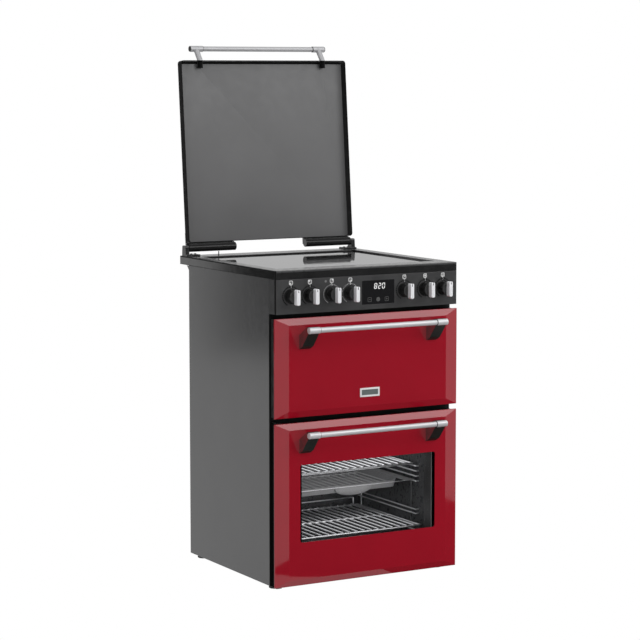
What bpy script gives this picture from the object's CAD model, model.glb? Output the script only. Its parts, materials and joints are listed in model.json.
"""Looks of the induction range cooker: its finishes, small trim, printed marks and studio."""

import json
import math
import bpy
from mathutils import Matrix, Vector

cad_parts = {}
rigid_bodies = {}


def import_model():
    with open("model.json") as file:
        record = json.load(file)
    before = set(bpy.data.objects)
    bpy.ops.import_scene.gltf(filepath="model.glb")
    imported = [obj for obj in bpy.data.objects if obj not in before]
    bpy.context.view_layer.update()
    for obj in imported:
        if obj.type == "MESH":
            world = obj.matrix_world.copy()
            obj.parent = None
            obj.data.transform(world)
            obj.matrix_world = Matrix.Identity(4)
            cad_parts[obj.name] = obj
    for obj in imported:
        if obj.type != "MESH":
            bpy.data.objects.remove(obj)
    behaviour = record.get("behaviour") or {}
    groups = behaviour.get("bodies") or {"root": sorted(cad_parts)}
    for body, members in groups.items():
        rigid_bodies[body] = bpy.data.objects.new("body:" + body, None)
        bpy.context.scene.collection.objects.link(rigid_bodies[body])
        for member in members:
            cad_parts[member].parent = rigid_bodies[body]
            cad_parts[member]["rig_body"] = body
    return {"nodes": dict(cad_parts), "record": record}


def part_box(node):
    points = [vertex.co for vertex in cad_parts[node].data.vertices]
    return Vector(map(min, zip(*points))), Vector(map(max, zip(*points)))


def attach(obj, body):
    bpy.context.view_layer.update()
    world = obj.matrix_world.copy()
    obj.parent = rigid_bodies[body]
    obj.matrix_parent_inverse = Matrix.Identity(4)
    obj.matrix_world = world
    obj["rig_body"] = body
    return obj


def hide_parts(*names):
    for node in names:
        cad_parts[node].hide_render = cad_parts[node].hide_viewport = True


bl_info = {
    "name": "Range cooker dresser",
    "version": (1, 0, 0),
    "blender": (4, 5, 0),
    "location": "View3D > Sidebar > Cooker",
    "description": "Dresses the packed range cooker with enamel, glass, chrome and printed marks",
    "category": "Add Mesh",
}

import bpy
from bpy.props import FloatProperty, FloatVectorProperty, IntProperty, PointerProperty
from mathutils import Vector

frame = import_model()
NODES = frame["nodes"]
RECORD = frame["record"]

# The cooker's own directions.
RIGHT = Vector((1.0, 0.0, 0.0))
BACK = Vector((0.0, 1.0, 0.0))
UP = Vector((0.0, 0.0, 1.0))

# The frame's own places that the trim and the studio are laid out from, in metres.
FASCIA_LOW, FASCIA_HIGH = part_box("control_fascia")
HOB_LEFT, HOB_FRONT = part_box("hob_frame")[0].xy
FRONT = BACK * HOB_FRONT

WHITE = (1.0, 1.0, 1.0, 1.0)

# A face is square to a direction when its normal has at least this share of it.
SQUARE = 0.9

# Places closer together than this touch.
TOUCH = 0.0001

# Where the photographer's camera stood, from the floor under the hob's front.
STAND = Vector((-3.1699, -5.2549, 1.4455))

# Level directions: where the camera looks, where the front and the left side mirror its gaze to, and across
# the gaze that the front mirrors.
GAZE = Vector((0.497, 0.8675, 0.0))
OFF_FRONT = Vector((0.497, -0.8675, 0.0))
OFF_SIDE = Vector((-0.497, 0.8675, 0.0))
ACROSS = Vector((0.8675, 0.497, 0.0))

KNOBS = (
    "knob_front_left_zone", "knob_rear_left_zone", "knob_rear_right_zone", "knob_front_right_zone",
    "knob_top_oven", "knob_oven_function", "knob_main_oven",
)


# Materials


def new_material(name):
    """A material with its nodes and links."""
    material = bpy.data.materials.new(name)
    material.use_nodes = True
    return material, material.node_tree.nodes, material.node_tree.links


class Finish:
    """A procedural material under construction, with short names for the nodes that it uses most."""

    def __init__(self, color, roughness, metallic=0.0):
        self.material, self.nodes, self.links = new_material("finish")
        self.shader = self.nodes["Principled BSDF"]
        self.set("Base Color", (*color, 1.0))
        self.set("Roughness", roughness)
        self.set("Metallic", metallic)
        self.place = self.nodes.new("ShaderNodeTexCoord").outputs["Object"]

    def set(self, socket, value):
        """Gives a socket of the shader a constant value."""
        self.shader.inputs[socket].default_value = value

    def noise(self, scale, detail=3.0, stretch=None):
        """Noise over the object's own coordinates, stretched along an axis where asked."""
        source = self.place
        if stretch:
            mapping = self.nodes.new("ShaderNodeMapping")
            mapping.inputs["Scale"].default_value = stretch
            self.links.new(self.place, mapping.inputs["Vector"])
            source = mapping.outputs["Vector"]
        node = self.nodes.new("ShaderNodeTexNoise")
        node.inputs["Scale"].default_value = scale
        node.inputs["Detail"].default_value = detail
        self.links.new(source, node.inputs["Vector"])
        return node.outputs["Fac"]

    def cells(self, scale):
        """Distance to scattered points, for speckles and hammered surfaces."""
        node = self.nodes.new("ShaderNodeTexVoronoi")
        node.inputs["Scale"].default_value = scale
        self.links.new(self.place, node.inputs["Vector"])
        return node.outputs["Distance"]

    def spread(self, source, low, high, start=0.3, end=0.7):
        """Maps a texture value onto a range of plain numbers."""
        node = self.nodes.new("ShaderNodeMapRange")
        node.inputs["From Min"].default_value = start
        node.inputs["From Max"].default_value = end
        node.inputs["To Min"].default_value = low
        node.inputs["To Max"].default_value = high
        self.links.new(source, node.inputs["Value"])
        return node.outputs["Result"]

    def tint(self, source, first, second, start=0.3, end=0.7):
        """Blends two colours by a texture value into the base colour."""
        node = self.nodes.new("ShaderNodeValToRGB")
        node.color_ramp.elements[0].position = start
        node.color_ramp.elements[0].color = (*first, 1.0)
        node.color_ramp.elements[1].position = end
        node.color_ramp.elements[1].color = (*second, 1.0)
        self.links.new(source, node.inputs["Fac"])
        self.links.new(node.outputs["Color"], self.shader.inputs["Base Color"])

    def rough(self, source, low, high, start=0.3, end=0.7):
        """Varies the roughness by a texture value."""
        self.links.new(self.spread(source, low, high, start, end), self.shader.inputs["Roughness"])

    def bump(self, source, strength, distance):
        """Raises the surface by a texture value."""
        node = self.nodes.new("ShaderNodeBump")
        node.inputs["Strength"].default_value = strength
        node.inputs["Distance"].default_value = distance
        self.links.new(source, node.inputs["Height"])
        self.links.new(node.outputs["Normal"], self.shader.inputs["Normal"])


def shade(color, factor):
    """A lighter or darker version of a colour."""
    return tuple(channel * factor for channel in color)


def uneven(color, roughness, grain, low, high, metallic=0.0, specular=None):
    """A finish of one colour whose gloss varies from place to place."""
    finish = Finish(color, roughness, metallic)
    finish.rough(finish.noise(grain), low, high)
    if specular is not None:
        finish.set("Specular IOR Level", specular)
    return finish


def red_enamel(look):
    """Vitreous enamel: deep colour under a clear mirror gloss, with a faint orange peel."""
    finish = uneven(look.red, 0.07, 40.0, 0.05, 0.09)
    finish.tint(finish.noise(9.0, 2.0), shade(look.red, 0.97), shade(look.red, 1.03))
    finish.bump(finish.noise(260.0, 1.0), 0.04, 0.0002)
    return finish


def black_enamel(look):
    """Black enamel of the frames and the fascia."""
    finish = uneven(look.black, 0.2, 60.0, 0.18, 0.26)
    finish.tint(finish.noise(14.0), shade(look.black, 0.85), shade(look.black, 1.15))
    finish.bump(finish.noise(300.0, 1.0), 0.05, 0.0002)
    return finish


def rim_enamel(look):
    """Deeper black enamel of the hob surround."""
    finish = uneven(shade(look.black, 0.25), 0.2, 60.0, 0.16, 0.24)
    finish.tint(finish.noise(14.0), shade(look.black, 0.2), shade(look.black, 0.3))
    return finish


def rim_edge(look):
    """Lighter rounded upper edge of the hob surround's front."""
    return uneven(shade(look.black, 0.9), 0.3, 60.0, 0.25, 0.35)


def tray_enamel(look):
    """Dull black of the door trays behind the red fronts."""
    return uneven(shade(look.black, 0.12), 0.6, 60.0, 0.5, 0.7, specular=0.15)


def bracket_enamel(look):
    """Darkened chrome of the handle brackets' flanks."""
    return uneven((0.36, 0.38, 0.37), 0.15, 90.0, 0.12, 0.2, metallic=1.0)


def bracket_face(look):
    """Greenish black of the handle brackets' faces."""
    return uneven((0.01, 0.016, 0.014), 0.45, 90.0, 0.4, 0.5, specular=0.15)


def lid_rim(look):
    """Deep black of the lid's turned rim."""
    return uneven(shade(look.black, 0.1), 0.5, 60.0, 0.45, 0.6, specular=0.04)


def pan_enamel(look):
    """Grey enamel of the roasting pan."""
    finish = uneven((0.24, 0.24, 0.245), 0.35, 70.0, 0.3, 0.42)
    finish.tint(finish.cells(500.0), (0.32, 0.32, 0.33), (0.24, 0.24, 0.245), 0.02, 0.12)
    return finish


def grid_enamel(look):
    """Pale enamel of the pan's slotted grid."""
    return uneven((0.5, 0.5, 0.51), 0.4, 70.0, 0.36, 0.46)


def panel_paint(look):
    """Powder coat of the side panels."""
    finish = uneven(look.panel, 0.23, 80.0, 0.2, 0.26)
    finish.tint(finish.noise(5.0), shade(look.panel, 0.94), shade(look.panel, 1.06))
    return finish


def lid_enamel(look):
    """Satin enamel of the lid."""
    finish = uneven(look.lid, 0.4, 50.0, 0.34, 0.44)
    finish.tint(finish.noise(6.0), shade(look.lid, 0.94), shade(look.lid, 1.06))
    finish.bump(finish.noise(500.0, 2.0), 0.06, 0.0003)
    return finish


def cavity_enamel(look):
    """Easy-clean enamel of the ovens, with pale speckles."""
    finish = uneven(look.cavity, 0.3, 90.0, 0.24, 0.38)
    finish.tint(finish.cells(900.0), (0.08, 0.082, 0.086), look.cavity, 0.03, 0.12)
    return finish


def chrome(look):
    """Polished chrome plate with faint wear in its gloss."""
    finish = uneven(shade(look.chrome, 0.78), 0.46, 35.0, 0.42, 0.5, metallic=0.5)
    finish.set("Specular Tint", (0.08, 0.08, 0.08, 1.0))
    return finish


def lid_chrome(look):
    """Duller chrome of the lid's handle."""
    finish = uneven(shade(look.chrome, 0.6), 0.5, 35.0, 0.46, 0.54, metallic=0.6)
    finish.set("Specular Tint", (0.08, 0.08, 0.08, 1.0))
    return finish


def wire_chrome(look):
    """Satin chromed wire of the racks."""
    return uneven(shade(look.chrome, 1.15), 0.42, 90.0, 0.36, 0.5, metallic=1.0)


def galvanised_steel(look):
    """Zinc-coated sheet with its crystal pattern."""
    finish = Finish((0.42, 0.43, 0.44), 0.45, 1.0)
    cells = finish.cells(70.0)
    finish.tint(cells, (0.36, 0.37, 0.38), (0.5, 0.51, 0.52), 0.1, 0.7)
    finish.rough(cells, 0.35, 0.55, 0.1, 0.7)
    return finish


def black_gloss(look):
    """Glossy black moulding of the knobs."""
    return uneven((0.006, 0.006, 0.006), 0.18, 120.0, 0.14, 0.24)


def knob_face(look):
    """Matt front of the knobs, inside their glossy edge."""
    return uneven((0.035, 0.035, 0.035), 0.5, 120.0, 0.45, 0.6, specular=0.2)


def black_plastic(look):
    """Matt black moulding."""
    finish = uneven((0.012, 0.012, 0.012), 0.6, 70.0, 0.5, 0.7)
    finish.bump(finish.noise(900.0), 0.15, 0.0002)
    return finish


def ceramic_glass(look):
    """Black glass ceramic of the hob, with a trace of unevenness in its gloss."""
    finish = uneven((0.004, 0.004, 0.0045), 0.05, 20.0, 0.03, 0.07)
    finish.set("IOR", 1.45)
    return finish


def window_glass(look):
    """Tinted door glass that light passes through without bending."""
    finish = uneven((0.01, 0.011, 0.012), 0.03, 15.0, 0.02, 0.04)
    finish.set("Alpha", look.window_tint)
    finish.material.blend_method = "BLEND"
    return finish


def clock_glass(look):
    """Dark cover of the clock."""
    return uneven((0.008, 0.008, 0.009), 0.08, 30.0, 0.06, 0.12)


def tray_aluminium(look):
    """Rolled aluminium with fine lines along the sheet."""
    finish = Finish((0.5, 0.5, 0.51), 0.4, 1.0)
    lines = finish.noise(60.0, 4.0, (1.0, 30.0, 30.0))
    finish.rough(lines, 0.3, 0.5)
    finish.bump(lines, 0.05, 0.0003)
    return finish


def coil_copper(look):
    """Flat wound copper with its lacquer."""
    finish = Finish((0.42, 0.17, 0.08), 0.4, 0.8)
    finish.tint(finish.noise(200.0), (0.3, 0.11, 0.05), (0.5, 0.21, 0.1))
    return finish


def element_steel(look):
    """Heat-darkened steel tube."""
    finish = uneven((0.06, 0.06, 0.06), 0.5, 80.0, 0.4, 0.6, metallic=0.9)
    finish.tint(finish.noise(60.0), (0.04, 0.038, 0.036), (0.1, 0.095, 0.09))
    return finish


def glass_fibre(look):
    """Matted glass fibre."""
    finish = Finish((0.55, 0.5, 0.36), 0.9)
    fibres = finish.noise(150.0, 6.0, (1.0, 6.0, 1.0))
    finish.tint(fibres, (0.42, 0.37, 0.25), (0.68, 0.63, 0.47))
    finish.bump(fibres, 0.6, 0.003)
    return finish


def seal_rubber(look):
    """Woven and siliconed seal."""
    finish = Finish((0.015, 0.015, 0.015), 0.7)
    finish.bump(finish.noise(800.0), 0.3, 0.0003)
    return finish


def lamp_glass(look):
    """Frosted cover of the oven lamp."""
    return uneven((0.75, 0.75, 0.7), 0.3, 100.0, 0.25, 0.4)


def grip_metal(look):
    """Satin bright metal of the knob grips."""
    finish = Finish(shade(look.chrome, 1.1), 0.5, 0.45)
    lines = finish.noise(400.0, 2.0, (8.0, 1.0, 0.15))
    finish.rough(lines, 0.42, 0.58)
    return finish


def plate_metal(look):
    """Satin metal rim of the door plate."""
    return uneven((0.8, 0.8, 0.8), 0.4, 300.0, 0.34, 0.46, metallic=0.3)


def plate_field(look):
    """Dark field of the door plate."""
    return uneven((0.11, 0.13, 0.125), 0.6, 300.0, 0.55, 0.7, specular=0.15)


def ink(color):
    """Screen-printed ink."""
    return uneven(color, 0.5, 500.0, 0.45, 0.6)


def white_ink(look):
    """White print of the signs."""
    return ink(look.print_white)


def dark_ink(look):
    """Print of the graduations."""
    return uneven(shade(look.print_white, 0.002), 0.6, 500.0, 0.55, 0.7, specular=0.05)


def neon_lens(look):
    """Unlit lens of the heat indicator."""
    return ink(shade(look.print_white, 0.18))


def faint_ink(look):
    """Unlit touch keys."""
    return ink(shade(look.print_white, 0.09))


def lit_digit(look):
    """Light of the clock."""
    finish = Finish((0.9, 0.9, 0.9), 0.5)
    finish.set("Emission Color", WHITE)
    finish.set("Emission Strength", 0.6)
    return finish


FINISHES = (
    grip_metal, knob_face, plate_metal, plate_field, white_ink, dark_ink, faint_ink, neon_lens, lit_digit,
    red_enamel, black_enamel, rim_enamel, rim_edge, tray_enamel, bracket_enamel, bracket_face, pan_enamel,
    grid_enamel, panel_paint, lid_enamel, lid_rim, cavity_enamel, galvanised_steel, chrome, lid_chrome,
    wire_chrome, black_gloss, black_plastic, ceramic_glass, window_glass, clock_glass, tray_aluminium,
    coil_copper, element_steel, glass_fibre, seal_rubber, lamp_glass,
)

# Parts whose finish differs from others of the same slot.
OWN_FINISH = {
    "top_door_inner": "tray_enamel",
    "main_door_inner_frame": "tray_enamel",
    "front_frame": "tray_enamel",
    "door_hinge_brackets": "tray_enamel",
    "pan_grid": "grid_enamel",
    "lid_hinge_posts": "rim_enamel",
    "lid_hinge_barrels": "rim_enamel",
}

# The materials once they are made, by the name of their finish.
FINISHED = {}


# Shared modelling steps


def give(piece, finish):
    """Leaves a piece with one finish."""
    piece.data.materials.clear()
    piece.data.materials.append(FINISHED[finish])


def node_slot(node):
    """The record's material slot of a CAD node."""
    return next(part["material_slot"] for part in RECORD["subparts"] if part["node"] == node)


def node_body(node):
    """The name of the body that a CAD node moves with."""
    return NODES[node]["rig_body"]


def centre(node):
    """The middle of a CAD node's box."""
    low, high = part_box(node)
    return (low + high) / 2


def enter(mode):
    """Switches between edit mode and object mode."""
    bpy.ops.object.mode_set(mode=mode)


def only(piece):
    """Makes a piece the one selected and active object."""
    if bpy.context.object and bpy.context.object.mode != "OBJECT":
        enter("OBJECT")
    bpy.ops.object.select_all(action="DESELECT")
    piece.select_set(True)
    bpy.context.view_layer.objects.active = piece


def settle(name):
    """Names the new primitive and puts its place into its mesh."""
    piece = bpy.context.object
    piece.name = name
    bpy.ops.object.transform_apply(location=True, rotation=True, scale=True)
    return piece


def slab(name, low, high):
    """A box primitive between two corners."""
    low, high = Vector(low), Vector(high)
    bpy.ops.mesh.primitive_cube_add(size=1.0, location=(low + high) / 2, scale=high - low)
    return settle(name)


def drum(name, middle, radius, depth, sides=64, axis="Y"):
    """A cylinder primitive around an axis."""
    turns = {"X": (0.0, math.pi / 2, 0.0), "Y": (math.pi / 2, 0.0, 0.0), "Z": (0.0, 0.0, 0.0)}
    bpy.ops.mesh.primitive_cylinder_add(
        vertices=sides, radius=radius, depth=depth, location=middle, rotation=turns[axis]
    )
    return settle(name)


def unpicked(piece, kind):
    """Readies a piece for picking faces or edges, with none selected."""
    only(piece)
    enter("EDIT")
    bpy.ops.mesh.select_mode(type=kind)
    bpy.ops.mesh.select_all(action="DESELECT")
    enter("OBJECT")


def pick_faces(piece, test):
    """Selects the faces that pass a test, in edit mode."""
    unpicked(piece, "FACE")
    for face in piece.data.polygons:
        face.select = test(face)
    enter("EDIT")


def pick_edges(piece, test):
    """Selects the edges whose two ends pass a test, in edit mode."""
    unpicked(piece, "EDGE")
    corners = piece.data.vertices
    for edge in piece.data.edges:
        first, second = (corners[i].co for i in edge.vertices)
        edge.select = test(first, second)
    enter("EDIT")


def cut(piece, point, normal, test=None):
    """Cuts the faces that pass a test, or all of them, along a plane."""
    pick_faces(piece, test or (lambda face: True))
    bpy.ops.mesh.bisect(plane_co=point, plane_no=normal)
    enter("OBJECT")


def paint(piece, finish, test):
    """Gives the faces that pass a test a further finish."""
    piece.data.materials.append(FINISHED[finish])
    pick_faces(piece, test)
    piece.active_material_index = len(piece.data.materials) - 1
    bpy.ops.object.material_slot_assign()
    enter("OBJECT")


def done(piece, angle=30.0):
    """Ends edit mode and shades the piece smooth up to an angle in degrees."""
    only(piece)
    bpy.ops.object.shade_smooth_by_angle(angle=math.radians(angle))
    return piece


def placed(name, data):
    """A new object in the scene."""
    piece = bpy.data.objects.new(name, data)
    bpy.context.scene.collection.objects.link(piece)
    return piece


def copied(piece, name, move):
    """A copy of a piece with its own mesh, moved."""
    twin = placed(name, piece.data.copy())
    only(twin)
    bpy.ops.transform.translate(value=move)
    bpy.ops.object.transform_apply(location=True, rotation=False, scale=False)
    return twin


def joined(pieces, name):
    """One object made of several."""
    only(pieces[0])
    for piece in pieces:
        piece.select_set(True)
    bpy.ops.object.join()
    pieces[0].name = name
    return pieces[0]


def merged_copy(node, name, finish):
    """A copy of a CAD node with its loose triangles joined into clean faces, which stands for the node."""
    piece = placed(name, NODES[node].data.copy())
    only(piece)
    bpy.ops.mesh.customdata_custom_splitnormals_clear()
    enter("EDIT")
    bpy.ops.mesh.select_all(action="SELECT")
    bpy.ops.mesh.remove_doubles(threshold=0.00001)
    bpy.ops.mesh.dissolve_limited(angle_limit=math.radians(0.3))
    enter("OBJECT")
    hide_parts(node)
    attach(piece, node_body(node))
    give(piece, finish)
    return piece


# Settings


def size(name, description, default, **more):
    """A setting in metres."""
    return FloatProperty(name=name, description=description, default=default, unit="LENGTH", **more)


def tilt(name, description, degrees):
    """A setting that holds an angle."""
    return FloatProperty(name=name, description=description, default=math.radians(degrees), subtype="ANGLE")


def portion(name, description, default, low=0.0):
    """A setting that holds a share, up to one."""
    return FloatProperty(
        name=name, description=description, default=default, min=low, max=1.0, subtype="FACTOR"
    )


def tone(name, description, default):
    """A setting that holds a colour."""
    return FloatVectorProperty(name=name, description=description, default=default, subtype="COLOR")


class CookerLook(bpy.types.PropertyGroup):
    """Colours of the cooker's finishes."""

    red: tone("Door red", "Enamel of both doors", (0.28, 0.0042, 0.0138))
    black: tone("Black enamel", "Frames, fascia and brackets", (0.045, 0.045, 0.046))
    panel: tone("Side paint", "Powder coat of the sides", (0.05, 0.05, 0.051))
    lid: tone("Lid enamel", "Inner face of the lid", (0.1, 0.1, 0.102))
    cavity: tone("Oven enamel", "Inside of the ovens", (0.045, 0.046, 0.048))
    chrome: tone("Chrome", "Handles and grips", (0.78, 0.78, 0.8))
    print_white: tone("Print", "Marks printed on the fascia", (0.75, 0.75, 0.75))
    window_tint: portion("Window tint", "How much the door glass hides", 0.03)


class KnobSizes(bpy.types.PropertyGroup):
    """Sizes of the turned knobs."""

    flange: size("Flange", "Thickness of the ring against the fascia", 0.003)
    taper: portion("Taper", "Front radius against the flange's", 0.93, low=0.5)
    grip_width: size("Grip width", "Width of the metal bar", 0.0115)
    grip_depth: size("Grip depth", "How far the bar stands forward", 0.016)
    notch_width: size("Notch width", "Width of the pointer slot", 0.0026)
    notch_length: size("Notch length", "Length of the pointer slot", 0.008)


class RackSizes(bpy.types.PropertyGroup):
    """Wires of the main oven's racks."""

    rail: size("Rail", "Radius of the rails", 0.003)
    bar: size("Bar", "Radius of the bars", 0.0029)
    bars: IntProperty(name="Bars", description="How many bars lie between the side rails", default=17, min=3)


class MarkSizes(bpy.types.PropertyGroup):
    """Sizes of the printed marks."""

    thickness: size("Ink", "Thickness of the ink", 0.00015, precision=5)
    sign: size("Sign width", "Width of the sign above each knob", 0.0118)
    ring: size("Ring radius", "Radius of the scale around a knob", 0.0262)
    digit: size("Digit height", "Height of the clock's digits", 0.016)


class BadgeSizes(bpy.types.PropertyGroup):
    """Sizes of the bare plate on the upper door."""

    width: size("Width", "Width of the plate", 0.064)
    height: size("Height", "Height of the plate", 0.0255)
    border: size("Border", "Width of its rim", 0.0048)
    thickness: size("Thickness", "How far it stands", 0.002)
    middle_x: size("Place", "How far right of the middle", 0.0022)
    middle_z: size("Middle", "Height of its middle", 0.5445)


class CookerStudio(bpy.types.PropertyGroup):
    """The photographer's studio."""

    lens: FloatProperty(name="Lens", description="Focal length in millimetres", default=123.34)
    turn: tilt("Turn", "How far the camera looks to the right", 29.83)
    dip: tilt("Dip", "How far the camera looks down", 6.0)
    shift: FloatProperty(name="Shift", description="Drop of the camera's frame", default=-0.0287)
    fill: FloatProperty(name="Fill", description="Strength of the even light", default=0.87)
    softbox: FloatProperty(name="Softbox", description="Watts of the overhead lamp", default=36.0)
    low_front: FloatProperty(name="Low front", description="Watts of the low front lamp", default=14.0)
    oven_lamp: FloatProperty(name="Oven light", description="Watts of the light in the oven", default=1.0)


# Operators


class COOKER_OT_finishes(bpy.types.Operator):
    """Make every finish and give it to the parts of the frame"""

    bl_idname = "cooker.finishes"
    bl_label = "Finishes"

    def execute(self, context):
        for build in FINISHES:
            finish = build(context.scene.cooker_look)
            finish.material.name = build.__name__
            FINISHED[build.__name__] = finish.material
        for node, piece in NODES.items():
            give(piece, OWN_FINISH.get(node, node_slot(node)))
        NODES["lid_hinge_barrels"].visible_glossy = False
        return {"FINISHED"}


def lid_shell(band):
    """The lid's pan, satin inside up to the height where its black band begins."""
    lid = merged_copy("lid_pan", "lid_shell", "black_gloss")
    cut(lid, UP * band, UP)
    inner = [face for face in lid.data.polygons if face.normal.y < -SQUARE]
    field = max(inner, key=lambda face: face.area).index
    paint(lid, "lid_rim", lambda face: face.normal.y < 0.5)
    paint(lid, "lid_enamel", lambda face: face.index == field)
    done(lid, 35.0)
    lid.visible_glossy = False


def lid_rods(seam):
    """The rods that carry the lid's handle bar, black below the seam where they leave the lid."""
    rods = merged_copy("lid_handle_rods", "lid_rods", "lid_chrome")
    cut(rods, UP * seam, UP)
    paint(rods, "lid_rim", lambda face: face.center.z < seam)
    done(rods, 40.0)


def lid_cap(side, outward):
    """The plastic cap on one end of the handle bar."""
    low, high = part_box("lid_handle_bar")
    middle = (low + high) / 2
    radius = (high.z - low.z) / 2
    depth = 0.0014
    x = (low.x if outward < 0.0 else high.x) + outward * depth / 2
    cap = drum(f"lid_handle_cap_{side}", (x, middle.y, middle.z), radius * 0.9, depth, sides=48, axis="X")
    pick_faces(cap, lambda face: face.normal.x * outward > SQUARE)
    bpy.ops.mesh.inset(thickness=radius * 0.25)
    bpy.ops.mesh.bevel(offset=0.0004, segments=2)
    done(cap)
    give(cap, "black_plastic")
    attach(cap, node_body("lid_handle_bar"))


class COOKER_OT_lid(bpy.types.Operator):
    """Finish the lid: satin inside a black rim, gloss outside, and its handle's rods and caps"""

    bl_idname = "cooker.lid"
    bl_label = "Lid"

    def execute(self, context):
        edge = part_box("lid_pan")[1].z
        band, sheet = 0.0115, 0.001
        lid_shell(edge - band)
        lid_rods(edge - sheet)
        lid_cap("left", -1.0)
        lid_cap("right", 1.0)
        return {"FINISHED"}


def hob_rim():
    """The hob's frame: a lighter rounded front edge, and a dull foot, left crown and corner."""
    rim = merged_copy("hob_frame", "hob_surround", "rim_enamel")
    foot = FASCIA_HIGH.z + 0.0014
    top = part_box("hob_glass")[1].z + 0.004
    edge, crown = top - 0.0055, top - 0.0036
    left, front = HOB_LEFT + 0.002, HOB_FRONT + 0.0025
    for height in (foot, edge, crown):
        cut(rim, UP * height, UP)

    def bright(face):
        return face.center.y < front and face.normal.y < -0.2 and face.center.z > edge

    def dull(face):
        place, normal = face.center, face.normal
        left_crown = place.x < left and normal.x < -0.05 and place.z > crown
        upright_foot = place.z < foot and abs(normal.z) < SQUARE
        return left_crown or upright_foot or (normal.x < -0.1 and normal.y < -0.1)

    paint(rim, "rim_edge", bright)
    paint(rim, "tray_enamel", dull)
    done(rim)


def fascia_panel():
    """The control panel, with the front strip of its left end in dull black."""
    fascia = merged_copy("control_fascia", "fascia_panel", "black_enamel")
    end, strip = FASCIA_LOW.x, FASCIA_LOW.y + 0.0075
    cut(fascia, BACK * strip, BACK, lambda face: face.center.x < end + TOUCH)

    def end_strip(face):
        return face.normal.x < -0.3 and face.center.x < end + 0.004 and face.center.y < strip

    paint(fascia, "tray_enamel", end_strip)
    done(fascia)


def rack_runners():
    """The racks' runners, with their front uprights in the liner's enamel."""
    racks = merged_copy("shelf_runners", "rack_wires", "wire_chrome")
    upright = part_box("shelf_runners")[0].y + 0.032

    def front_upright(face):
        return abs(face.center.y - upright) < 0.0023 and abs(face.normal.z) < 0.5

    paint(racks, "cavity_enamel", front_upright)
    done(racks, 50.0)


def window_tunnel():
    """The main door's inner frame, whose right wall shows through the window, with pale lips."""
    tunnel = merged_copy("main_door_inner_frame", "window_tunnel", "tray_enamel")
    low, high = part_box("main_door_inner_frame")
    lips = (low.y + 0.002, high.y - 0.002)

    def wall(face):
        return face.normal.x < -SQUARE and face.center.x > 0.0

    for lip in lips:
        cut(tunnel, BACK * lip, BACK, wall)
    paint(tunnel, "black_enamel", wall)
    paint(tunnel, "pan_enamel", lambda face: wall(face) and not lips[0] <= face.center.y <= lips[1])
    done(tunnel)


def pan_bead():
    """The rolled front edge of the roasting pan."""
    low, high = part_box("roasting_pan")
    place = ((low.x + high.x) / 2, low.y + 0.0028, high.z - 0.0012)
    bead = drum("pan_bead", place, radius=0.0008, depth=high.x - low.x - 0.06, sides=16, axis="X")
    pick_edges(bead, lambda a, b: abs(a.x - b.x) < 0.001)
    bpy.ops.mesh.bevel(offset=0.0003, segments=2)
    done(bead)
    give(bead, "wire_chrome")
    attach(bead, node_body("roasting_pan"))


class COOKER_OT_surround(bpy.types.Operator):
    """Finish the hob surround, the fascia, the runners, the brackets, the oven mouth and the pan's edge"""

    bl_idname = "cooker.surround"
    bl_label = "Surround"

    def execute(self, context):
        hob_rim()
        fascia_panel()
        rack_runners()
        for node in ("top_door_handle_brackets", "main_door_handle_brackets"):
            bracket = merged_copy(node, f"{node}_dressed", "bracket_enamel")
            paint(bracket, "bracket_face", lambda face: face.normal.y < -0.2 or face.normal.z < -0.5)
            done(bracket)
        window_tunnel()
        pan_bead()
        return {"FINISHED"}


class COOKER_OT_bars(bpy.types.Operator):
    """Mark the seams where the handle bars enter their collars"""

    bl_idname = "cooker.bars"
    bl_label = "Handle bars"

    seam: size("Seam", "Width of the dark seam", 0.0014)

    # Length of the collars at the ends of each bar.
    COLLARS = {"lid_handle_bar": 0.042, "top_door_handle_bar": 0.036, "main_door_handle_bar": 0.036}

    def execute(self, context):
        for node, collar in self.COLLARS.items():
            finish = "lid_chrome" if node == "lid_handle_bar" else "chrome"
            bar = merged_copy(node, f"{node}_dressed", finish)
            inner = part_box(node)[1].x - collar
            for side in (-1.0, 1.0):
                cut(bar, RIGHT * side * (inner + self.seam), RIGHT)

            def in_seam(face, inner=inner):
                return -0.0005 < abs(face.center.x) - inner < self.seam

            paint(bar, "tray_enamel", in_seam)
            done(bar, 40.0)
        return {"FINISHED"}


def wire(place, radius, length, axis):
    """A round wire with softened ends."""
    piece = drum("wire", place, radius, length, sides=16, axis=axis)
    along = "XYZ".index(axis)
    pick_edges(piece, lambda a, b: abs(a[along] - b[along]) < length / 2)
    bpy.ops.mesh.bevel(offset=radius * 0.4, segments=2)
    return done(piece, 60.0)


def wire_rack(node, sizes, stop):
    """Rails round a row of bars, with a raised stop at the rear where asked."""
    low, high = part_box(node)
    rail = sizes.rail
    middle = (low + high) / 2
    level = low.z + rail
    depth = high.y - low.y - 2 * rail
    width = high.x - low.x - 2 * rail
    front = wire((middle.x, low.y + rail, level), rail, width + rail, "X")
    side = wire((low.x + rail, middle.y, level), rail, depth + rail, "Y")
    pitch = width / (sizes.bars + 1)
    bar = wire((low.x + rail + pitch, middle.y, level + sizes.bar), sizes.bar, depth + rail, "Y")
    wires = [front, side, bar, copied(side, "wire", RIGHT * width)]
    wires += [copied(front, "wire", BACK * depth * share) for share in (0.5, 1.0)]
    wires += [copied(bar, "wire", RIGHT * pitch * i) for i in range(1, sizes.bars)]
    if stop:
        thin = rail * 0.7
        reach = width / 2 - 0.016
        top = high.z - thin
        wires.append(wire((middle.x, high.y - rail, top), thin, 2 * reach, "X"))
        for across in (-reach, reach):
            wires.append(wire((middle.x + across, high.y - rail, (level + top) / 2), thin, top - level, "Z"))
    shelf = joined(wires, f"{node}_wires")
    give(shelf, "wire_chrome")
    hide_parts(node)
    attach(shelf, node_body(node))


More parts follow.
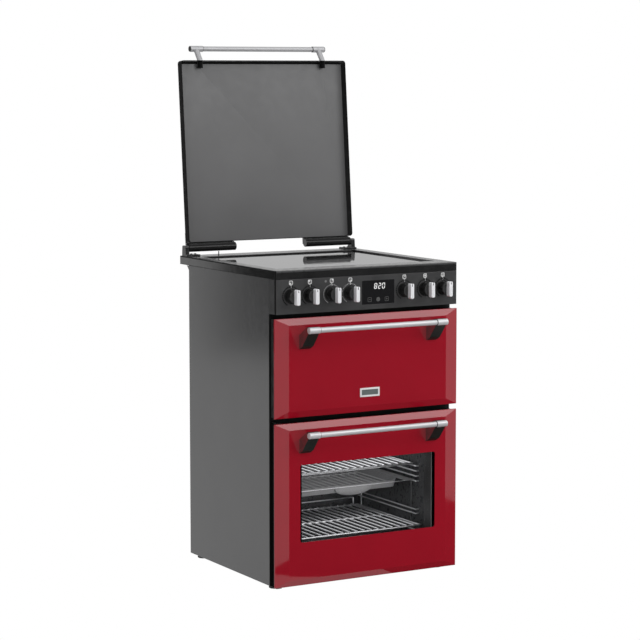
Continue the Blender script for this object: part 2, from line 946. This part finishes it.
class COOKER_OT_racks(bpy.types.Operator):
    """Bend the wire racks of the main oven"""

    bl_idname = "cooker.racks"
    bl_label = "Racks"

    def execute(self, context):
        sizes = context.scene.cooker_racks
        wire_rack("upper_wire_shelf", sizes, False)
        wire_rack("lower_wire_shelf", sizes, True)
        return {"FINISHED"}


def seat_knob(knob, body, grip):
    """Tells the frame which knob a body and a grip belong to."""
    for piece in (body, grip):
        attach(piece, node_body(knob))
    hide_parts(knob)


# Sides of a knob's outline, of which every second one is a flute.
KNOB_SIDES = 72


def knob_body(knob, sizes):
    """A flange with a tapered and fluted wall, and a dished matt front."""
    low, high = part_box(knob)
    middle = (low + high) / 2
    radius = (high.x - low.x) / 2
    back = FASCIA_LOW.y - 0.0003
    front = low.y + sizes.grip_depth
    place = (middle.x, back - sizes.flange / 2, middle.z)
    ring = drum(f"{knob}_body", place, radius, sizes.flange, KNOB_SIDES)
    pick_faces(ring, lambda face: face.normal.y < -SQUARE)
    bpy.ops.mesh.inset(thickness=0.0008)
    face_middle = Vector((middle.x, back - sizes.flange, middle.z))
    bpy.ops.mesh.extrude_region_move(TRANSFORM_OT_translate={"value": (0.0, front - face_middle.y, 0.0)})
    bpy.ops.transform.resize(value=(sizes.taper, 1.0, sizes.taper), center_override=face_middle)
    bpy.ops.mesh.bevel(offset=0.0016, segments=3)

    def disc(face):
        return face.normal.y < -SQUARE and face.center.y < front + TOUCH and face.area > 0.0003

    pick_faces(ring, disc)
    bpy.ops.mesh.inset(thickness=0.002)
    bpy.ops.mesh.inset(thickness=0.001, depth=-0.0006)
    step = 2 * math.pi / KNOB_SIDES

    def flute(face):
        angle = math.atan2(face.center.z - middle.z, face.center.x - middle.x)
        side = abs(face.normal.y) < 0.3 and face.area > 0.00002
        return side and round(angle / step - 0.5) % 2 == 0

    pick_faces(ring, flute)
    bpy.ops.mesh.inset(thickness=0.0002, depth=-0.0004, use_individual=True)
    give(ring, "black_gloss")
    paint(ring, "knob_face", lambda face: face.normal.y < -SQUARE and face.center.y < front + 0.001)
    return done(ring)


def knob_grip(knob, sizes):
    """A rounded bar with the pointer's slot sunk into its upper end."""
    low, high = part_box(knob)
    middle = (low + high) / 2
    half = sizes.grip_width / 2
    front, top = low.y, high.z - 0.0018
    back = front + sizes.grip_depth - 0.0002
    bar = slab(f"{knob}_grip", (middle.x - half, front, low.z), (middle.x + half, back, top))
    pick_edges(bar, lambda a, b: abs(a.y - b.y) > 0.01)
    bpy.ops.mesh.bevel(offset=half * 0.75, segments=6)
    pick_edges(bar, lambda a, b: max(a.y, b.y) < front + TOUCH)
    bpy.ops.mesh.bevel(offset=0.0016, segments=4)
    slot = sizes.notch_width / 2
    foot = top - sizes.notch_length
    for side in (-slot, slot):
        cut(bar, RIGHT * (middle.x + side), RIGHT)
    cut(bar, UP * foot, UP)

    def notch(face):
        return face.normal.y < -0.99 and abs(face.center.x - middle.x) < slot and face.center.z > foot

    def sunk(face):
        inside = abs(face.center.x - middle.x) < slot and face.center.z > foot - TOUCH
        return inside and (face.normal.z > 0.3 or face.center.y > front + 0.0005)

    pick_faces(bar, notch)
    bpy.ops.mesh.extrude_region_move(TRANSFORM_OT_translate={"value": (0.0, 0.0015, 0.0)})
    give(bar, "grip_metal")
    paint(bar, "black_gloss", sunk)
    return done(bar)


class COOKER_OT_knobs(bpy.types.Operator):
    """Turn the knobs: a fluted black body and a metal grip with its pointer slot"""

    bl_idname = "cooker.knobs"
    bl_label = "Knobs"

    def execute(self, context):
        sizes = context.scene.cooker_knobs
        first = KNOBS[0]
        body = knob_body(first, sizes)
        grip = knob_grip(first, sizes)
        for knob in KNOBS[1:]:
            move = centre(knob) - centre(first)
            seat_knob(knob, copied(body, f"{knob}_body", move), copied(grip, f"{knob}_grip", move))
        seat_knob(first, body, grip)
        return {"FINISHED"}


def ink_depth():
    """The thickness of the ink."""
    return bpy.context.scene.cooker_marks.thickness


def ink_bar(x, z, width, height, turn=0.0):
    """A printed bar on the front, centred and turned about its middle."""
    front = FASCIA_LOW.y
    low = (x - width / 2, front - ink_depth(), z - height / 2)
    bar = slab("ink_bar", low, (x + width / 2, front, z + height / 2))
    enter("EDIT")
    bpy.ops.mesh.select_all(action="SELECT")
    bpy.ops.transform.rotate(value=turn, orient_axis="Y", center_override=(x, front, z))
    enter("OBJECT")
    return bar


def ink_dot(x, z, radius, sides=16):
    """A printed dot."""
    return drum("ink_dot", (x, FASCIA_LOW.y - ink_depth() / 2, z), radius, ink_depth(), sides)


def ink_frame(x, z, width, stroke, corner):
    """A printed outline of a rounded square."""
    outline = ink_bar(x, z, width, width)
    pick_edges(outline, lambda a, b: abs(a.y - b.y) > ink_depth() / 2)
    bpy.ops.mesh.bevel(offset=corner, segments=4)
    pick_faces(outline, lambda face: abs(face.normal.y) > SQUARE)
    bpy.ops.mesh.inset(thickness=stroke)
    bpy.ops.mesh.bridge_edge_loops()
    enter("OBJECT")
    return outline


def printed(marks, name, finish, node):
    """Joins marks into one piece on the CAD node that carries them."""
    piece = joined(marks, name)
    give(piece, finish)
    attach(piece, node_body(node))


def knob_sign(knob, x, z, width):
    """A rounded square with a stalk to the knob and the sign of what the knob sets inside it."""
    marks = [ink_frame(x, z, width, stroke=0.0014, corner=0.003)]
    marks.append(ink_bar(x, z - width / 2 - 0.0012, width=0.0022, height=0.003))
    if "zone" in knob:
        across = width * 0.19 * (-1 if "left" in knob else 1)
        along = width * 0.19 * (-1 if "front" in knob else 1)
        marks.append(ink_dot(x + across, z + along, radius=0.0022))
        for u, v in ((-across, along), (across, -along), (-across, -along)):
            marks.append(ink_dot(x + u, z + v, radius=0.0009))
    elif knob == "knob_oven_function":
        turns = (0.0, math.pi / 3, math.pi * 2 / 3)
        marks += [ink_bar(x, z, width=0.0014, height=0.0078, turn=turn) for turn in turns]
    else:
        levels = (0.0022, -0.0022) if knob == "knob_main_oven" else (0.0022,)
        marks += [ink_bar(x, z + level, width=0.0078, height=0.0013) for level in levels]
        marks.append(ink_bar(x, z - 0.0002, width=0.0062, height=0.0009, turn=0.45))
    return marks


def knob_scale(knob, middle, radius):
    """The dotted ring of an induction knob or the graduations of the others."""
    dotted = knob in ("knob_rear_right_zone", "knob_front_right_zone")
    count = 30 if dotted else 26
    start, sweep = math.radians(-60.0), math.radians(300.0)
    marks = []
    for i in range(count + 1):
        angle = start + sweep * i / count
        x = middle.x + radius * math.cos(angle)
        z = middle.z + radius * math.sin(angle)
        if dotted:
            marks.append(ink_dot(x, z, radius=0.0009, sides=10))
        else:
            marks.append(ink_bar(x, z, width=0.0046, height=0.0027, turn=-angle))
    printed(marks, f"{knob}_scale", "white_ink" if dotted else "dark_ink", "control_fascia")


class COOKER_OT_marks(bpy.types.Operator):
    """Print the signs, the pointers' marks and the scales on the fascia"""

    bl_idname = "cooker.marks"
    bl_label = "Printed marks"

    def execute(self, context):
        sizes = context.scene.cooker_marks
        for knob in KNOBS:
            middle, top = centre(knob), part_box(knob)[1].z
            marks = knob_sign(knob, middle.x, top + 0.0145, sizes.sign)
            marks.append(ink_bar(middle.x + 0.001, top + 0.0025, width=0.0012, height=0.004, turn=-0.4))
            printed(marks, f"{knob}_sign", "white_ink", "control_fascia")
            knob_scale(knob, middle, sizes.ring)
        zone = "knob_rear_right_zone"
        depth = 0.0006
        place = (centre(zone).x - 0.0196, FASCIA_LOW.y - depth / 2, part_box(zone)[1].z + 0.0138)
        neon = drum("zone_neon", place, radius=0.0034, depth=depth, sides=24)
        printed([neon], "zone_neon", "neon_lens", "control_fascia")
        return {"FINISHED"}


# The lit segments of each digit: a top, b and c right, d foot, e and f left, g middle.
SEGMENTS = {"8": "abcdefg", "2": "abdeg", "0": "abcdef"}


def lit_bars(digit, x, z, width, height):
    """The lit bars of one digit, which leans to the right."""
    stroke = height * 0.085
    lean = 0.12
    tall = height / 2 - stroke * 1.5
    across = width - stroke * 2.6
    side = width / 2 - stroke / 2
    top = height / 2 - stroke / 2
    quarter = height / 4 - stroke / 8
    places = {
        "a": (0.0, top, across, stroke),
        "b": (side, quarter, stroke, tall),
        "c": (side, -quarter, stroke, tall),
        "d": (0.0, -top, across, stroke),
        "e": (-side, -quarter, stroke, tall),
        "f": (-side, quarter, stroke, tall),
        "g": (0.0, 0.0, across, stroke),
    }
    bars = []
    for segment in SEGMENTS[digit]:
        u, v, wide, high = places[segment]
        bars.append(ink_bar(x + u + v * lean, z + v, wide, high))
    return bars


class COOKER_OT_clock(bpy.types.Operator):
    """Light the clock's digits and draw its three faint touch keys"""

    bl_idname = "cooker.clock"
    bl_label = "Clock"

    def execute(self, context):
        middle = centre("display_window")
        height = context.scene.cooker_marks.digit
        width = height * 0.54
        digits = []
        for i, digit in enumerate("820"):
            x = middle.x + width * (1.5 * i - 0.99)
            digits += lit_bars(digit, x, middle.z + height * 1.08, width, height)
        printed(digits, "clock_digits", "lit_digit", "display_window")
        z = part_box("display_window")[0].z + 0.0128
        left, right = middle.x - 0.0282, middle.x + 0.0282
        arm, thin = 0.006, 0.0014
        keys = [ink_frame(x, z, width=0.0125, stroke=0.0012, corner=0.002) for x in (left, right)]
        keys.append(ink_dot(middle.x, z, radius=0.0062, sides=32))
        keys += [ink_bar(x, z, arm, thin) for x in (left, right)]
        keys.append(ink_bar(right, z, thin, arm))
        printed(keys, "touch_keys", "faint_ink", "display_window")
        return {"FINISHED"}


class COOKER_OT_badge(bpy.types.Operator):
    """Fix the bare plate on the upper door"""

    bl_idname = "cooker.badge"
    bl_label = "Door plate"

    def execute(self, context):
        sizes = context.scene.cooker_badge
        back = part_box("top_door_skin")[0].y
        front = back - sizes.thickness
        x, z = sizes.middle_x, sizes.middle_z
        half_width, half_height = sizes.width / 2, sizes.height / 2
        low, high = (x - half_width, front, z - half_height), (x + half_width, back, z + half_height)
        plate = slab("door_plate", low, high)
        give(plate, "plate_metal")
        pick_faces(plate, lambda face: face.normal.y < -SQUARE)
        bpy.ops.mesh.inset(thickness=sizes.border)
        bpy.ops.mesh.inset(thickness=0.0004, depth=-0.0008)
        paint(plate, "plate_field", lambda face: face.normal.y < -SQUARE and face.center.y > front + 0.0005)
        pick_edges(plate, lambda a, b: abs(a.y - b.y) > sizes.thickness / 2)
        bpy.ops.mesh.bevel(offset=0.0012, segments=3)

        def on_outline(end):
            outside = max(abs(end.z - z) - half_height, abs(end.x - x) - half_width)
            return end.y < front + TOUCH and outside > -0.002

        pick_edges(plate, lambda a, b: on_outline(a) and on_outline(b))
        bpy.ops.mesh.bevel(offset=0.0006, segments=3)
        done(plate)
        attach(plate, node_body("top_door_skin"))
        return {"FINISHED"}


def for_mirrors(piece):
    """Puts a piece on the stage where only mirrors see it."""
    piece.visible_camera = False
    piece.visible_diffuse = False
    piece.visible_transmission = False
    piece.visible_shadow = False


def seen_white(nodes, links, lit, output):
    """White for the camera, mirrors and glass, and the plain shader for everything else."""
    path = nodes.new("ShaderNodeLightPath").outputs
    seen = path["Is Camera Ray"]
    for ray in ("Is Glossy Ray", "Is Transmission Ray"):
        either = nodes.new("ShaderNodeMath")
        either.operation = "MAXIMUM"
        links.new(seen, either.inputs[0])
        links.new(path[ray], either.inputs[1])
        seen = either.outputs[0]
    white = nodes.new("ShaderNodeEmission" if output.type == "OUTPUT_MATERIAL" else "ShaderNodeBackground")
    white.inputs["Color"].default_value = WHITE
    mix = nodes.new("ShaderNodeMixShader")
    links.new(seen, mix.inputs["Fac"])
    links.new(lit.outputs[0], mix.inputs[1])
    links.new(white.outputs[0], mix.inputs[2])
    links.new(mix.outputs["Shader"], output.inputs["Surface"])


def white_floor():
    """A wide floor that the camera sees as white."""
    bpy.ops.mesh.primitive_plane_add(size=40.0, location=(0.0, 0.0, 0.0))
    floor = bpy.context.object
    floor.name = "studio_floor"
    coat = Finish((0.6, 0.6, 0.6), 0.9)
    coat.material.name = "studio_floor"
    seen_white(coat.nodes, coat.links, coat.shader, coat.nodes["Material Output"])
    floor.data.materials.append(coat.material)


def even_world(studio):
    """Even light from all round, in front of white."""
    world = bpy.data.worlds.new("studio_world")
    bpy.context.scene.world = world
    world.use_nodes = True
    nodes = world.node_tree.nodes
    fill = nodes["Background"]
    fill.inputs["Color"].default_value = WHITE
    fill.inputs["Strength"].default_value = studio.fill
    seen_white(nodes, world.node_tree.links, fill, nodes["World Output"])


def lamp(name, place, aim, width, height, power):
    """An oblong lamp that points at a place and that the camera doesn't see."""
    light = bpy.data.lights.new(name, "AREA")
    light.shape = "RECTANGLE"
    light.size, light.size_y = width, height
    light.energy = power
    piece = placed(name, light)
    piece.location = place
    piece.visible_camera = False
    piece.rotation_euler = (aim - place).to_track_quat("-Z", "Y").to_euler()
    return piece


def studio_lamps(studio):
    """The softbox above the front, a low lamp before it, and three small lamps inside the main oven."""
    doors = FRONT + UP * 0.6
    lamp("softbox", doors + Vector((0.497, -0.687, 0.54)) * 3.6, doors, 2.4, 1.6, studio.softbox)
    low_front = lamp("low_front", doors + OFF_FRONT * 3.0 - UP * 0.5, doors, 2.0, 0.5, studio.low_front)
    low_front.visible_glossy = False
    low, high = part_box("main_oven_liner")
    middle = (low + high) / 2
    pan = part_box("roasting_pan")[0].z
    mouth = Vector((middle.x, low.y + 0.015, pan))
    ceiling = Vector((middle.x, middle.y - 0.02, high.z - 0.03))
    under = Vector((middle.x, middle.y, pan - 0.01))
    lamp("mouth_light", mouth, mouth + BACK, 0.42, 0.06, studio.oven_lamp * 0.13)
    lamp("oven_light", ceiling, ceiling - UP, 0.4, 0.3, studio.oven_lamp * 0.5)
    lamp("lower_light", under, under - UP, 0.36, 0.24, studio.oven_lamp * 0.16)


def card(name, place, aim, width, height, level):
    """A flat reflector or flag that only mirrors see."""
    turn = (aim - place).to_track_quat("Z", "Y").to_euler()
    bpy.ops.mesh.primitive_plane_add(size=1.0, location=place, rotation=turn)
    piece = bpy.context.object
    piece.name = name
    piece.scale = (width, height, 1.0)
    material, nodes, links = new_material(name)
    nodes.remove(nodes["Principled BSDF"])
    paper = nodes.new("ShaderNodeEmission")
    paper.inputs["Color"].default_value = (level, level, level, 1.0)
    links.new(paper.outputs["Emission"], nodes["Material Output"].inputs["Surface"])
    piece.data.materials.append(material)
    for_mirrors(piece)
    return piece


def studio_cards():
    """What the front, the hob, the left side and the lid's handle mirror, each with its grey level."""
    doors = FRONT + UP * 0.55
    card("front_flag", doors + OFF_FRONT * 2.6, doors, 1.7, 1.9, 0.1)
    floor = FRONT + OFF_FRONT * 1.6 + ACROSS * 0.15 + UP * 0.002
    flat = card("front_floor", floor, floor + UP, 3.1, 1.05, 0.08)
    flat.rotation_euler = (0.0, 0.0, math.atan2(OFF_FRONT.y, OFF_FRONT.x))
    rear = UP - FRONT
    card("rear_card", rear + (GAZE + UP * 0.09) * 3.0, rear, 3.2, 0.9, 0.7)
    beside = UP * 1.2
    place = beside + OFF_SIDE * 1.65 - ACROSS * 1.02
    card("side_card", place, place - OFF_SIDE, 1.7, 1.5, 0.02)
    card("left_flag", FRONT - RIGHT * 3.0 + UP * 0.6, beside, 4.0, 2.4, 0.03)
    grip = centre("lid_handle_bar")
    card("handle_flag", grip + GAZE * 0.8, grip, 1.5, 0.5, 0.0)


def mirrored_barrels():
    """The hinge barrels as the hob mirrors them, without their leaves."""
    radius, length = 0.01225, 0.1583
    behind, height = 0.577, 0.923
    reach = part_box("lid_hinge_barrels")[1].x - 0.0791
    for side in (-1.0, 1.0):
        place = (side * reach, HOB_FRONT + behind, height)
        barrel = drum("mirrored_barrel", place, radius, length, sides=48, axis="X")
        give(barrel, "black_enamel")
        for_mirrors(barrel)


def photo_camera(studio):
    """The photographer's camera, which looks to the right and down."""
    camera = placed("photo_camera", bpy.data.cameras.new("photo_camera"))
    camera.location = FRONT + STAND
    camera.rotation_euler = (math.radians(90.0) - studio.dip, 0.0, -studio.turn)
    camera.data.lens = studio.lens
    camera.data.sensor_width = 36.0
    camera.data.shift_y = studio.shift
    camera.data.clip_end = 100.0
    bpy.context.scene.camera = camera


class COOKER_OT_studio(bpy.types.Operator):
    """Set up the floor, the lamps, the world and the camera"""

    bl_idname = "cooker.studio"
    bl_label = "Studio"

    def execute(self, context):
        studio = context.scene.cooker_studio
        white_floor()
        even_world(studio)
        studio_lamps(studio)
        studio_cards()
        mirrored_barrels()
        photo_camera(studio)
        context.scene.view_settings.view_transform = "Standard"
        return {"FINISHED"}


OPERATORS = (
    COOKER_OT_finishes, COOKER_OT_lid, COOKER_OT_surround, COOKER_OT_bars, COOKER_OT_racks,
    COOKER_OT_knobs, COOKER_OT_marks, COOKER_OT_clock, COOKER_OT_badge, COOKER_OT_studio,
)

SETTINGS = {
    "cooker_look": CookerLook,
    "cooker_racks": RackSizes,
    "cooker_knobs": KnobSizes,
    "cooker_marks": MarkSizes,
    "cooker_badge": BadgeSizes,
    "cooker_studio": CookerStudio,
}


class COOKER_PT_dresser(bpy.types.Panel):
    """Lists what the dresser makes"""

    bl_label = "Cooker"
    bl_idname = "COOKER_PT_dresser"
    bl_space_type = "VIEW_3D"
    bl_region_type = "UI"
    bl_category = "Cooker"

    def draw(self, context):
        for operator in OPERATORS:
            self.layout.operator(operator.bl_idname)


CLASSES = (*SETTINGS.values(), *OPERATORS, COOKER_PT_dresser)


def register():
    for cls in CLASSES:
        bpy.utils.register_class(cls)
    for name, group in SETTINGS.items():
        setattr(bpy.types.Scene, name, PointerProperty(type=group))


def unregister():
    for name in SETTINGS:
        delattr(bpy.types.Scene, name)
    for cls in reversed(CLASSES):
        bpy.utils.unregister_class(cls)


def main():
    register()
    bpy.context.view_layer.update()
    bpy.ops.cooker.finishes()
    bpy.ops.cooker.lid()
    bpy.ops.cooker.surround()
    bpy.ops.cooker.bars()
    bpy.ops.cooker.racks()
    bpy.ops.cooker.knobs()
    bpy.ops.cooker.marks()
    bpy.ops.cooker.clock()
    bpy.ops.cooker.badge()
    bpy.ops.cooker.studio()


if __name__ == "__main__":
    main()
